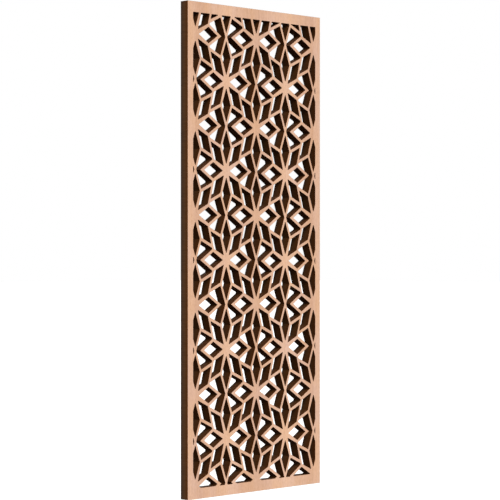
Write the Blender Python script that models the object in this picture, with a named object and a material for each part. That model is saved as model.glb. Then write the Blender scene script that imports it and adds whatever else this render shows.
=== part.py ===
"""A pierced fretwork wall panel: one board, cut through in a lattice of eight-pointed stars inside a plain border.

Metres, +Z up. The face looks along -Y and the flat back lies on the wall in the plane Y = 0.
The origin is on the back, at the middle of the top rail, where the panel hangs.
"""

import math

import bpy
from mathutils import Vector

# The board and its border. The rails are the border's top and bottom, the stiles its sides.
PANEL_WIDTH = 0.390
PANEL_HEIGHT = 1.000
PANEL_THICKNESS = 0.0205
RAIL_WIDTH = 0.0216
STILE_WIDTH = 0.0149

# The stars stand in columns and rows, with one more star in the middle of each four.
STAR_PITCH_ACROSS = 0.1742
STAR_PITCH_UP = 0.1820
BOTTOM_STARS_ABOVE_RAIL = 0.0037

# The columns to the right of the middle one stand a little lower than the rest.
RIGHT_STARS_DROP = 0.0026

# The lattice is drawn as a regular star with eight arms, 45 degrees apart, and then squeezed sideways.
SQUEEZE = 0.76
STAR_RADIUS = 0.0525
KITE_TIP_GAP = 0.0256
CROSS_RIB_SHARE = 0.856

# The ribs between the piercings, as drawn before the squeeze. An arm is wider at the middle of its star.
RIB_WIDTH = 0.0065
ARM_ROOT_WIDTH = 0.0112

# A corner of a piercing that the border would leave as a smaller speck than this isn't cut.
SMALLEST_PIERCING = 6e-6

HALF_ARM_ANGLE = math.radians(22.5)


def drawn_nodes(neighbour_lift):
    """The lattice's nodes in a star's upper right quarter, from the star's centre, before the squeeze.

    The last three are nodes of the neighbour star, which can stand a little higher than half a pitch up.
    """
    half_across = STAR_PITCH_ACROSS / SQUEEZE / 2
    half_up = STAR_PITCH_UP / 2
    low = STAR_RADIUS * Vector((math.cos(HALF_ARM_ANGLE), math.sin(HALF_ARM_ANGLE)))
    high = STAR_RADIUS * Vector((math.sin(HALF_ARM_ANGLE), math.cos(HALF_ARM_ANGLE)))
    top_tip = Vector((0, half_up))
    cross = low.lerp(Vector((half_across, half_up)) - low, CROSS_RIB_SHARE)
    neighbour = Vector((half_across, half_up + neighbour_lift))
    return {
        "centre": Vector((0, 0)),
        "low": low,
        "high": high,
        "side_tip": Vector((half_across - KITE_TIP_GAP, 0)),
        "top_tip": top_tip,
        "cross": cross,
        "near_cross": neighbour - cross,
        "far_high": neighbour - high,
        "far_tip": neighbour - top_tip,
    }


# Each piercing's corners in order. A name that ends in _below is the node's mirror image in the star's level axis,
# and one that ends in _left is its mirror image in the star's upright axis.
SIDE_KITE = ("centre", "low_below", "side_tip", "low")
TOP_KITE = ("centre", "high", "top_tip", "high_left")
DIAMOND = ("centre", "low", "cross", "high")
CHEVRON = (
    "side_tip",
    "low_below",
    "near_cross_below",
    "far_high_below",
    "far_tip",
    "far_high",
    "near_cross",
    "low",
)


def place(name, neighbour_lift):
    """A node's place, which may be a mirror image of a node of the upper right quarter."""
    if name.endswith("_below"):
        spot = place(name.removesuffix("_below"), -neighbour_lift)
        return Vector((spot.x, -spot.y))
    if name.endswith("_left"):
        spot = place(name.removesuffix("_left"), neighbour_lift)
        return Vector((-spot.x, spot.y))
    return drawn_nodes(neighbour_lift)[name]


def rib_half_width(name):
    """Half of the width that a rib has where it meets this node."""
    return (ARM_ROOT_WIDTH if name == "centre" else RIB_WIDTH) / 2


def inner_edge(start, end, half_at_start, half_at_end):
    """A rib's edge on the left of its centre line, as a point and a direction."""
    across = (end - start).normalized().orthogonal()
    first = start + across * half_at_start
    return first, end + across * half_at_end - first


def crossing(edge, other):
    """Where two edges meet."""
    (start, along), (other_start, other_along) = edge, other
    share = (other_start - start).cross(other_along) / along.cross(other_along)
    return start + along * share


def drawn_piercing(corner_names, neighbour_lift=0):
    """A piercing's outline: its corners' centre lines, moved in by half a rib.

    An edge that is used up when its neighbours move in is left out.
    """
    corners = [(place(name, neighbour_lift), rib_half_width(name)) for name in corner_names]
    edges = [
        inner_edge(start, end, half_at_start, half_at_end)
        for (start, half_at_start), (end, half_at_end) in zip(corners, corners[1:] + corners[:1])
    ]
    while True:
        points = [crossing(before, edge) for before, edge in zip(edges[-1:] + edges[:-1], edges)]
        ends = points[1:] + points[:1]
        left = [edge for edge, start, end in zip(edges, points, ends) if (end - start).dot(edge[1]) > 0]
        if len(left) == len(edges):
            return points
        edges = left


def mirrored(outline, across, up):
    """An outline mirrored where a sign is -1, and still running anticlockwise."""
    points = [Vector((point.x * across, point.y * up)) for point in outline]
    return points if across * up > 0 else points[::-1]


def star_piercings(left_lift, right_lift):
    """The outlines of the piercings round one star, squeezed to their real width."""
    side_kite = drawn_piercing(SIDE_KITE)
    top_kite = drawn_piercing(TOP_KITE)
    diamond = drawn_piercing(DIAMOND)
    drawn = [drawn_piercing(CHEVRON, right_lift), mirrored(drawn_piercing(CHEVRON, left_lift), -1, 1)]
    drawn += [mirrored(side_kite, across, 1) for across in (1, -1)]
    drawn += [mirrored(top_kite, 1, up) for up in (1, -1)]
    drawn += [mirrored(diamond, across, up) for across in (1, -1) for up in (1, -1)]
    return [[Vector((point.x * SQUEEZE, point.y)) for point in outline] for outline in drawn]


def area(outline):
    """An outline's area, which is negative where it runs clockwise."""
    return sum(a.cross(b) for a, b in zip(outline, outline[1:] + outline[:1])) / 2


def cut_back(outline, axis, limit, sign):
    """The parts of an outline on one side of a level or upright line. A bent outline can leave more than one."""
    kept = [sign * (point[axis] - limit) <= 0 for point in outline]
    if all(kept) or not any(kept):
        return [outline] if all(kept) else []
    first = kept.index(False)
    points = outline[first:] + outline[: first + 1]
    runs = []
    for start, end in zip(points, points[1:]):
        start_kept = sign * (start[axis] - limit) <= 0
        end_kept = sign * (end[axis] - limit) <= 0
        if end_kept and not start_kept:
            runs.append([])
        if start_kept:
            runs[-1].append(start)
        if start_kept != end_kept:
            runs[-1].append(start.lerp(end, (limit - start[axis]) / (end[axis] - start[axis])))
    return joined_runs(runs, 1 - axis)


def joined_runs(runs, along):
    """Runs that begin and end on one line, closed along it into outlines. Neighbours on the line belong together."""
    ends = [(run[0][along], False, index) for index, run in enumerate(runs)]
    ends += [(run[-1][along], True, index) for index, run in enumerate(runs)]
    ends.sort()
    next_run = {}
    for one, other in zip(ends[::2], ends[1::2]):
        leaving, entering = (one, other) if one[1] else (other, one)
        next_run[leaving[2]] = entering[2]
    outlines = []
    while next_run:
        index = next(iter(next_run))
        outlines.append([])
        while index in next_run:
            outlines[-1] += runs[index]
            index = next_run.pop(index)
    return outlines


def column_lift(column):
    """How much higher a column of stars stands than the middle one."""
    return -RIGHT_STARS_DROP if column > 0 else 0


def star_centres(bottom_star, reach):
    """The columns and places of the stars whose piercings can show inside the border."""
    columns = math.ceil(PANEL_WIDTH / STAR_PITCH_ACROSS) + 1
    rows = math.ceil(2 * reach / STAR_PITCH_UP) + 1
    for column in range(-columns, columns + 1):
        lowest = bottom_star + column_lift(column)
        for row in range(-1, rows + 1):
            if (column + row) % 2 == 0:
                yield column, Vector((column * STAR_PITCH_ACROSS / 2, lowest + row * STAR_PITCH_UP / 2))


def piercings():
    """Every piercing's outline on the board, cut back where the border covers it."""
    right = PANEL_WIDTH / 2 - STILE_WIDTH
    top = -RAIL_WIDTH / 2
    bottom = top - (PANEL_HEIGHT - 2 * RAIL_WIDTH)
    found = []
    for column, centre in star_centres(bottom + BOTTOM_STARS_ABOVE_RAIL, PANEL_HEIGHT):
        lifts = [column_lift(beside) - column_lift(column) for beside in (column - 1, column + 1)]
        for drawn in star_piercings(*lifts):
            outlines = [[point + centre for point in drawn]]
            for axis, limit, sign in ((0, right, 1), (0, -right, -1), (1, top, 1), (1, bottom, -1)):
                outlines = [part for outline in outlines for part in cut_back(outline, axis, limit, sign)]
            found += [outline for outline in outlines if area(outline) > SMALLEST_PIERCING]
    return found


def board_outline():
    """The board's own four corners."""
    half_width = PANEL_WIDTH / 2
    top = RAIL_WIDTH / 2
    bottom = top - PANEL_HEIGHT
    return [
        Vector((-half_width, bottom)),
        Vector((half_width, bottom)),
        Vector((half_width, top)),
        Vector((-half_width, top)),
    ]


def wood():
    """Pale wood, of the face's colour."""
    material = bpy.data.materials.new("pale_wood")
    material.use_nodes = True
    shader = material.node_tree.nodes["Principled BSDF"]
    shader.inputs["Base Color"].default_value = (0.76, 0.47, 0.32, 1)
    shader.inputs["Roughness"].default_value = 0.55
    shader.inputs["Metallic"].default_value = 0
    return material


def make_panel():
    """The board as one filled outline with its piercings, extruded to its thickness."""
    flat = bpy.data.curves.new("fretwork_panel", "CURVE")
    flat.dimensions = "2D"
    flat.fill_mode = "BOTH"
    flat.extrude = PANEL_THICKNESS / 2
    for outline in [board_outline(), *piercings()]:
        spline = flat.splines.new("POLY")
        spline.points.add(len(outline) - 1)
        for point, corner in zip(spline.points, outline):
            point.co = (corner.x, corner.y, 0, 1)
        spline.use_cyclic_u = True
    panel = bpy.data.objects.new("fretwork_panel", flat)
    panel.data.materials.append(wood())
    panel.rotation_euler = (math.radians(90), 0, 0)
    panel.location = (0, -PANEL_THICKNESS / 2, 0)
    bpy.context.scene.collection.objects.link(panel)
    return panel


def main():
    for obj in list(bpy.data.objects):
        bpy.data.objects.remove(obj)
    make_panel()


main()
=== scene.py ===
"""The looks of a pierced fretwork wall panel: pale wood with a satin face and scorched, sawn walls, with
painted shade on the piercings' walls.
"""

import math

import bmesh
import bpy
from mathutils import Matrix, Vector
from mathutils.geometry import delaunay_2d_cdt


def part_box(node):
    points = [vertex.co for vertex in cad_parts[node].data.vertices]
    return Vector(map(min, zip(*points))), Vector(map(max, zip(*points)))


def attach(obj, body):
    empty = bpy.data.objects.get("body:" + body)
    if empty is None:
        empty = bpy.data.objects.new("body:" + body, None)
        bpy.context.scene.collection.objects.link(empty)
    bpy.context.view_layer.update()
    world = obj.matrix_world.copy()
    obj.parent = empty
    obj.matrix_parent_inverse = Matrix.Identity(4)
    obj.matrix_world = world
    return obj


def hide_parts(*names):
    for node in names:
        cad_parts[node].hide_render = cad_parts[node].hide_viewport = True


NODE = "fretwork_panel"

# The saw leaves a small radius in each inner corner, and the sanded arrises are slightly rounded.
INNER_CORNER_RADIUS = 0.0007
OUTER_CORNER_RADIUS = 0.0005
CORNER_STEPS = 4
ARRIS = 0.00022
ARRIS_STEPS = 2

# A corner's arc takes up at most this share of the shorter side beside it.
CORNER_ROOM = 0.3

# The board's materials, by their place in its list.
FACE, WALL, EDGE = 0, 1, 2

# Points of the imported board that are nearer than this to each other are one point, and those that are so
# near to its front are on it.
PACKED_TOLERANCE = 1e-6

# A point where the outline turns by less than this, in radians, isn't a corner.
STRAIGHT = 1e-3

# Points nearer than this to each other are one point where triangles fill the faces. INSIDE_ONLY tells
# delaunay_2d_cdt to return only the triangles that lie inside its loops.
SAME_POINT = 1e-7
INSIDE_ONLY = 1

# The grain's light bands stand this far apart across the board. Noise shifts them either way by up to half
# of STREAK_WAVER, in radians.
STREAK_PITCH = 0.174
STREAK_WAVER = 0.8
STREAK_STRENGTH = 0.20

# One more light streak runs up each side. It fades out between these distances from the middle.
SIDE_STREAK_FULL = 0.178
SIDE_STREAK_GONE = 0.171
SIDE_STREAK_STRENGTH = 0.23

# The noise that draws the rest of the grain moves the tone by up to half of this either way.
GRAIN_STRENGTH = 0.6

# The face's colours from its dark streaks to its light ones, as (tone, colour).
FACE_TONES = (
    (0.22, (0.696, 0.406, 0.260)),
    (0.50, (0.775, 0.473, 0.316)),
    (0.78, (0.839, 0.528, 0.361)),
)

# What the face's colour is multiplied by, as (noise, colour): warm and cool patches, flecks, fine lines
# and pores. The lines and pores do this by a share only.
PATCHES = ((0.35, (1.015, 0.985, 0.915)), (0.65, (0.99, 1.01, 1.09)))
FLECKS = ((0.35, (0.955, 0.945, 0.93)), (0.65, (1.04, 1.05, 1.06)))
FINE_LINES = ((0.30, (0.91, 0.88, 0.84)), (0.55, (1, 1, 1)))
PORES = ((0.27, (0.80, 0.72, 0.64)), (0.36, (1, 1, 1)))
FINE_LINES_SHARE = 0.8
PORES_SHARE = 0.6

# The scorched walls' colours from the front to the back, as (share of the depth, colour). The piercings'
# walls are darker than the outer edge, as painted shade inside the piercings. Noise shifts them either way
# by up to half of SCORCH_WAVER.
PIERCING_SCORCH_AND_SHADE = (
    (0.0, (0.081, 0.0240, 0.0041)),
    (0.15, (0.070, 0.0216, 0.0044)),
    (0.5, (0.064, 0.0258, 0.0090)),
    (1.0, (0.045, 0.0222, 0.0112)),
)
EDGE_LAYERS = (
    (0.0, (0.127, 0.0430, 0.0098)),
    (0.15, (0.109, 0.0383, 0.0098)),
    (0.5, (0.113, 0.0534, 0.0244)),
    (1.0, (0.063, 0.0397, 0.0260)),
)
SCORCH_WAVER = 0.35

# What the walls' colour is multiplied by along the saw's marks, as (noise, colour).
SAW_MARKS = ((0.3, (0.72, 0.70, 0.68)), (0.7, (1.15, 1.12, 1.08)))
SAW_MARKS_SHARE = 0.8

# The roughness, as (noise, grey), and the strength of the gloss.
FACE_ROUGHNESS = ((0.3, (0.56, 0.56, 0.56)), (0.7, (0.46, 0.46, 0.46)))
WALL_ROUGHNESS = ((0.3, (0.80, 0.80, 0.80)), (0.7, (0.92, 0.92, 0.92)))
FACE_GLOSS = 0.35
WALL_GLOSS = 0.018

# The relief of the grain and the saw's marks: its depth, its strengths, and the share of the face's relief
# that comes from the fine lines. The rest comes from the pores.
RELIEF_DEPTH = 0.0004
FACE_RELIEF = 0.12
WALL_RELIEF = 0.25
FINE_LINES_RELIEF = 0.6

# The Mix node has sockets of one name for each kind of data, so those for colours go by their numbers.
MIX_FACTOR, MIX_A, MIX_B, MIX_RESULT = 0, 6, 7, 2

# The picture's camera: level, to the panel's front left, on a long lens. It sees as far as CAMERA_REACH.
PICTURE_PIXELS = 500
FOCAL_PIXELS = 1831.0
LEFT_CORNER_PIXEL = 187.757
CORNER_HEIGHT_PIXELS = 500.14
HORIZON_PIXEL = 250.3
VANISHING_PIXEL = 2068.5
SENSOR_MM = 36
CAMERA_REACH = 100

# The studio: a white surround that lights less than it shows, a pale floor and two soft lights. The light of
# the surround fades out below the horizon, down to the directions whose Z is DARK_BELOW.
SURROUND_SEEN = 1.0
SURROUND_LIGHT = 0.66
DARK_BELOW = -0.45
FLOOR_BELOW_PANEL = 0.9
FLOOR_HALF_SIZE = 60
FLOOR_COLOUR = (0.92, 0.92, 0.92, 1)
FLOOR_ROUGHNESS = 0.9
LIGHT_ANGLE = math.radians(35)
KEY_STRENGTH = 2.5
KEY_FROM = (-0.5, -1.0, 0.9)
FILL_STRENGTH = 1.5
FILL_FROM = (0.8, 1.0, 0.5)


def front_outlines(node):
    """The outlines of the board's front face, as lists of (x, z), with the wood on their left."""
    low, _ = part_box(node.name)

    def in_front(face):
        return all(abs(vertex.co.y - low.y) < PACKED_TOLERANCE for vertex in face.verts)

    work = bmesh.new()
    work.from_mesh(node.data)
    bmesh.ops.remove_doubles(work, verts=work.verts, dist=PACKED_TOLERANCE)
    after = {}
    for face in filter(in_front, work.faces):
        for loop in face.loops:
            if not all(in_front(beside) for beside in loop.edge.link_faces):
                start, end = loop.vert, loop.link_loop_next.vert
                after[start.index] = (end.index, Vector((start.co.x, start.co.z)))
    work.free()
    outlines = []
    while after:
        index = min(after)
        outline = []
        while index in after:
            index, point = after.pop(index)
            outline.append(point)
        outlines.append(without_straight_points(outline))
    return outlines


def without_straight_points(outline):
    """The outline's true corners only."""
    kept = []
    for index, point in enumerate(outline):
        before = (point - outline[index - 1]).normalized()
        ahead = (outline[(index + 1) % len(outline)] - point).normalized()
        if abs(before.cross(ahead)) > STRAIGHT:
            kept.append(point)
    return kept


def area(outline):
    """The outline's area, which is negative where it runs clockwise."""
    return sum(start.cross(end) for start, end in zip(outline, outline[1:] + outline[:1])) / 2


def turned(way, angle):
    """A direction turned anticlockwise by an angle."""
    return Vector(
        (
            way.x * math.cos(angle) - way.y * math.sin(angle),
            way.x * math.sin(angle) + way.y * math.cos(angle),
        )
    )


def rounded(outline):
    """Each corner as a short arc: a list of points and, for each, the way into the wood from the wall."""
    points, inward = [], []
    for index, corner in enumerate(outline):
        before = outline[index - 1]
        ahead = outline[(index + 1) % len(outline)]
        arriving = (corner - before).normalized()
        leaving = (ahead - corner).normalized()
        turn = math.atan2(arriving.cross(leaving), arriving.dot(leaving))
        side = 1 if turn > 0 else -1
        radius = OUTER_CORNER_RADIUS if turn > 0 else INNER_CORNER_RADIUS
        reach = radius * math.tan(abs(turn) / 2)
        room = CORNER_ROOM * min((corner - before).length, (ahead - corner).length)
        if reach > room:
            reach = room
            radius = reach / math.tan(abs(turn) / 2)
        normal = Vector((-arriving.y, arriving.x))
        centre = corner - arriving * reach + normal * radius * side
        for step in range(CORNER_STEPS + 1):
            into = turned(normal, turn * step / CORNER_STEPS)
            points.append(centre - into * radius * side)
            inward.append(into)
    return points, inward


def wall_profile(depth):
    """The wall's section from front to back, as (how far into the wood, how deep), with rounded arrises."""
    arc = []
    for step in range(ARRIS_STEPS + 1):
        angle = math.pi / 2 * step / ARRIS_STEPS
        arc.append((ARRIS * (1 - math.sin(angle)), ARRIS * (1 - math.cos(angle))))
    return arc + [(into, depth - down) for into, down in reversed(arc)]


def face_triangles(rims):
    """The triangles between the outer rim and the piercings' rims.

    A corner is its point's place in the rims laid end to end.
    """
    flat = [point for rim in rims for point in rim]
    loops, start = [], 0
    for number, rim in enumerate(rims):
        loop = list(range(start, start + len(rim)))
        start += len(rim)
        if area(rim) > 0:
            outer = number
        else:
            loop.reverse()
        loops.append(loop)
    _, _, triangles, _, _, owners = delaunay_2d_cdt(flat, [], loops, INSIDE_ONLY, SAME_POINT)
    return [triangle for triangle, owner in zip(triangles, owners) if list(owner) == [outer]]


def panel_mesh(outlines, front, depth):
    """The board with rounded corners and arrises."""
    profile = wall_profile(depth)
    vertices, faces, kinds = [], [], []
    rims, on_front, on_back = [], [], []
    for outline in outlines:
        kind = EDGE if area(outline) > 0 else WALL
        points, inward = rounded(outline)
        count = len(points)
        first = len(vertices)
        rims.append([point + way * ARRIS for point, way in zip(points, inward)])
        on_front += range(first, first + count)
        on_back += range(first + (len(profile) - 1) * count, first + len(profile) * count)
        for into, down in profile:
            for point, way in zip(points, inward):
                spot = point + way * into
                vertices.append((spot.x, front + down, spot.y))
        for ring in range(len(profile) - 1):
            for index in range(count):
                here = first + ring * count + index
                beside = first + ring * count + (index + 1) % count
                faces.append((here, here + count, beside + count, beside))
                kinds.append(kind)
    for triangle in face_triangles(rims):
        faces.append([on_front[index] for index in triangle])
        faces.append([on_back[index] for index in reversed(triangle)])
        kinds += [FACE, FACE]
    mesh = bpy.data.meshes.new("panel_of_wood")
    mesh.from_pydata(vertices, [], faces)
    mesh.polygons.foreach_set("material_index", kinds)
    work = bmesh.new()
    work.from_mesh(mesh)
    bmesh.ops.recalc_face_normals(work, faces=work.faces)
    work.to_mesh(mesh)
    work.free()
    mesh.update()
    return mesh


class Nodes:
    """The nodes of a material or a world, added and linked in short calls."""

    def __init__(self, owner, shader):
        owner.use_nodes = True
        self.tree = owner.node_tree
        self.shader = self.tree.nodes[shader]

    def fill(self, node, inputs):
        """Set a node's inputs to numbers or colours, or link them to other nodes' outputs."""
        for name, value in inputs.items():
            if isinstance(value, bpy.types.NodeSocket):
                self.tree.links.new(value, node.inputs[name])
            else:
                node.inputs[name].default_value = value

    def add(self, kind, inputs, **settings):
        """A new node."""
        node = self.tree.nodes.new(kind)
        for name, value in settings.items():
            setattr(node, name, value)
        self.fill(node, inputs)
        return node

    def coordinates(self, kind):
        """Each point's place, in coordinates of this kind."""
        return self.add("ShaderNodeTexCoord", {}).outputs[kind]

    def along(self, axis, place):
        """A place's distance along an axis."""
        return self.add("ShaderNodeSeparateXYZ", {"Vector": place}).outputs[axis]

    def calc(self, operation, *values):
        """A number worked out from others."""
        return self.add("ShaderNodeMath", dict(enumerate(values)), operation=operation).outputs["Value"]

    def between(self, value, limits, results):
        """A number that goes from one result to the other as the value goes from limit to limit."""
        levels = {"From Min": limits[0], "From Max": limits[1], "To Min": results[0], "To Max": results[1]}
        return self.add("ShaderNodeMapRange", {"Value": value, **levels}).outputs["Result"]

    def noise(self, place, fineness, shift=(0, 0, 0), *, scale, detail, roughness, distortion=0.0):
        """Noise from 0 to 1, drawn out along the axes where its fineness is small."""
        mapping = self.add("ShaderNodeMapping", {"Vector": place, "Scale": fineness, "Location": shift})
        look = {"Scale": scale, "Detail": detail, "Roughness": roughness, "Distortion": distortion}
        return self.add("ShaderNodeTexNoise", {"Vector": mapping.outputs["Vector"], **look}).outputs["Fac"]

    def ramp(self, value, stops):
        """The colour for a value, between stops of (value, colour)."""
        node = self.add("ShaderNodeValToRGB", {"Fac": value})
        elements = node.color_ramp.elements
        while len(elements) < len(stops):
            elements.new(1)
        for element, (position, colour) in zip(elements, stops):
            element.position = position
            element.color = (*colour, 1)
        return node.outputs["Color"]

    def tinted(self, colour, tint, share=1.0):
        """A colour with a share of it multiplied by another."""
        inputs = {MIX_FACTOR: share, MIX_A: colour, MIX_B: tint}
        node = self.add("ShaderNodeMix", inputs, data_type="RGBA", blend_type="MULTIPLY")
        return node.outputs[MIX_RESULT]

    def relief(self, height, strength):
        """The surface's direction where it has a fine relief."""
        levels = {"Height": height, "Strength": strength, "Distance": RELIEF_DEPTH}
        return self.add("ShaderNodeBump", levels).outputs["Normal"]


def new_material(name, dress, *details):
    """A new material, whose shader one of the functions below fills in."""
    material = bpy.data.materials.new(name)
    dress(Nodes(material, "Principled BSDF"), *details)
    return material


def grain_tone(nodes, place):
    """How light the grain is: broad bands, softer streaks and one more light streak up each side."""
    across = nodes.along("X", place)
    drift = nodes.noise(place, (1, 1, 0.04), scale=9, detail=2, roughness=0.5)
    turn = nodes.calc("MULTIPLY", across, 2 * math.pi / STREAK_PITCH)
    phase = nodes.calc("ADD", turn, nodes.calc("MULTIPLY", drift, STREAK_WAVER))
    wave = nodes.calc("COSINE", nodes.calc("ADD", phase, math.pi - STREAK_WAVER / 2))
    bands = nodes.calc("MULTIPLY", wave, STREAK_STRENGTH)
    from_middle = nodes.calc("ABSOLUTE", across)
    beside = nodes.between(from_middle, (SIDE_STREAK_GONE, SIDE_STREAK_FULL), (0, SIDE_STREAK_STRENGTH))
    soft = nodes.noise(place, (1, 1, 0.012), (0.61, 0, 0), scale=34, detail=4, roughness=0.6, distortion=0.3)
    grain = nodes.calc("MULTIPLY_ADD", soft, GRAIN_STRENGTH, (1 - GRAIN_STRENGTH) / 2)
    return nodes.calc("ADD", grain, nodes.calc("ADD", bands, beside))


def face_wood(nodes):
    """Pale peach wood. Its grain runs up the whole board, in broad soft streaks and fine short pores."""
    place = nodes.coordinates("Object")
    patches = nodes.noise(place, (1, 1, 0.4), (4, 0, 2), scale=30, detail=3, roughness=0.6)
    flecks = nodes.noise(place, (1, 1, 0.45), (2, 0, 3), scale=330, detail=2, roughness=0.5)
    lines = nodes.noise(place, (1, 1, 0.03), (0.3, 0, 0.7), scale=380, detail=3, roughness=0.6)
    pores = nodes.noise(place, (1, 1, 0.05), (1, 0, 5), scale=1500, detail=1, roughness=0.5)
    colour = nodes.ramp(grain_tone(nodes, place), FACE_TONES)
    colour = nodes.tinted(colour, nodes.ramp(patches, PATCHES))
    colour = nodes.tinted(colour, nodes.ramp(flecks, FLECKS))
    colour = nodes.tinted(colour, nodes.ramp(lines, FINE_LINES), FINE_LINES_SHARE)
    colour = nodes.tinted(colour, nodes.ramp(pores, PORES), PORES_SHARE)
    lines_height = nodes.calc("MULTIPLY", lines, FINE_LINES_RELIEF)
    pores_height = nodes.calc("MULTIPLY", pores, 1 - FINE_LINES_RELIEF)
    look = {
        "Base Color": colour,
        "Roughness": nodes.ramp(lines, FACE_ROUGHNESS),
        "Specular IOR Level": FACE_GLOSS,
        "Normal": nodes.relief(nodes.calc("ADD", lines_height, pores_height), FACE_RELIEF),
    }
    nodes.fill(nodes.shader, look)


def wall_wood(nodes, layers, front, depth):
    """Scorched walls: dark brown layers from front to back, some darkened as painted shade, with the saw's
    fine marks.
    """
    place = nodes.coordinates("Object")
    through = nodes.between(nodes.along("Y", place), (front, front + depth), (0, 1))
    cloud = nodes.noise(place, (1, 1.6, 1), scale=55, detail=4, roughness=0.6, distortion=0.3)
    waver = nodes.calc("MULTIPLY", nodes.calc("SUBTRACT", cloud, 0.5), SCORCH_WAVER)
    marks = nodes.noise(place, (1, 0.04, 1), scale=900, detail=2, roughness=0.6)
    scorch = nodes.ramp(nodes.calc("ADD", through, waver), layers)
    look = {
        "Base Color": nodes.tinted(scorch, nodes.ramp(marks, SAW_MARKS), SAW_MARKS_SHARE),
        "Roughness": nodes.ramp(cloud, WALL_ROUGHNESS),
        "Specular IOR Level": WALL_GLOSS,
        "Normal": nodes.relief(marks, WALL_RELIEF),
    }
    nodes.fill(nodes.shader, look)


def floor_finish(nodes):
    """A plain matt floor."""
    nodes.fill(nodes.shader, {"Base Color": FLOOR_COLOUR, "Roughness": FLOOR_ROUGHNESS})


def make_panel(frame):
    """The dressed board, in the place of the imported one."""
    node = frame["nodes"][NODE]
    low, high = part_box(NODE)
    depth = high.y - low.y
    mesh = panel_mesh(front_outlines(node), low.y, depth)
    panel = bpy.data.objects.new("pierced_board", mesh)
    bpy.context.scene.collection.objects.link(panel)
    mesh.materials.append(new_material("pale_face_wood", face_wood))
    # The piercings' walls take the darker colours: scorched wood with painted shade.
    mesh.materials.append(new_material("scorched_wall_wood_painted_shade", wall_wood, PIERCING_SCORCH_AND_SHADE, low.y, depth))
    mesh.materials.append(new_material("scorched_edge_wood", wall_wood, EDGE_LAYERS, low.y, depth))
    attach(panel, "root")
    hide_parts(NODE)


def make_camera():
    """The picture's own camera, from where its lines meet."""
    low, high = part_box(NODE)
    yaw = math.atan2(FOCAL_PIXELS, VANISHING_PIXEL - PICTURE_PIXELS / 2)
    right = Vector((math.cos(yaw), -math.sin(yaw), 0))
    ahead = Vector((math.sin(yaw), math.cos(yaw), 0))
    height = high.z - low.z
    distance = FOCAL_PIXELS / CORNER_HEIGHT_PIXELS * height
    aside = (LEFT_CORNER_PIXEL - PICTURE_PIXELS / 2) / FOCAL_PIXELS * distance
    corner = Vector((low.x, low.y, (low.z + high.z) / 2))
    camera = bpy.data.cameras.new("camera")
    camera.sensor_width = SENSOR_MM
    camera.lens = FOCAL_PIXELS / PICTURE_PIXELS * SENSOR_MM
    camera.shift_y = (HORIZON_PIXEL - PICTURE_PIXELS / 2) / PICTURE_PIXELS
    camera.clip_end = CAMERA_REACH
    view = bpy.data.objects.new("camera", camera)
    view.location = corner - right * aside - ahead * distance
    view.rotation_euler = (math.pi / 2, 0, -yaw)
    bpy.context.scene.collection.objects.link(view)
    bpy.context.scene.camera = view


def make_world():
    """A white surround. What it lights with fades out below the horizon."""
    world = bpy.data.worlds.new("studio")
    nodes = Nodes(world, "Background")
    up = nodes.along("Z", nodes.coordinates("Generated"))
    lighting = nodes.between(up, (DARK_BELOW, 0), (0, SURROUND_LIGHT))
    seen = nodes.add("ShaderNodeLightPath", {}).outputs["Is Camera Ray"]
    choice = nodes.add("ShaderNodeMix", {"Factor": seen, "A": lighting, "B": SURROUND_SEEN})
    nodes.fill(nodes.shader, {"Color": (1, 1, 1, 1), "Strength": choice.outputs["Result"]})
    bpy.context.scene.world = world


def make_floor():
    """A pale floor, as far below the panel as it is when the panel hangs on a wall."""
    low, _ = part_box(NODE)
    size = FLOOR_HALF_SIZE
    corners = [(-size, -size, 0), (size, -size, 0), (size, size, 0), (-size, size, 0)]
    mesh = bpy.data.meshes.new("floor")
    mesh.from_pydata(corners, [], [(0, 1, 2, 3)])
    mesh.materials.append(new_material("pale_floor", floor_finish))
    floor = bpy.data.objects.new("floor", mesh)
    floor.location.z = low.z - FLOOR_BELOW_PANEL
    # The panel gets the surround's light from below, not the floor's.
    floor.visible_diffuse = False
    bpy.context.scene.collection.objects.link(floor)


def make_light(name, strength, came_from):
    """One broad soft light, as even as a window's."""
    light = bpy.data.lights.new(name, "SUN")
    light.energy = strength
    light.angle = LIGHT_ANGLE
    lamp = bpy.data.objects.new(name, light)
    lamp.rotation_euler = Vector(came_from).to_track_quat("Z", "Y").to_euler()
    bpy.context.scene.collection.objects.link(lamp)


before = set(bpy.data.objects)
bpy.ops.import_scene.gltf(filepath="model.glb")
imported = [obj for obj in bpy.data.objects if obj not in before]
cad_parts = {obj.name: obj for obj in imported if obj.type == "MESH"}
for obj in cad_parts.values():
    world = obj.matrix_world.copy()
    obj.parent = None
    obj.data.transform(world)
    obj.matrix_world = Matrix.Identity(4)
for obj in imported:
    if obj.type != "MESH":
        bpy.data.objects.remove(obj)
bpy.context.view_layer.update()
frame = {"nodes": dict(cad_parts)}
make_panel(frame)
make_camera()
make_world()
make_floor()
make_light("key", KEY_STRENGTH, KEY_FROM)
make_light("fill", FILL_STRENGTH, FILL_FROM)
bpy.context.scene.view_settings.view_transform = "Standard"
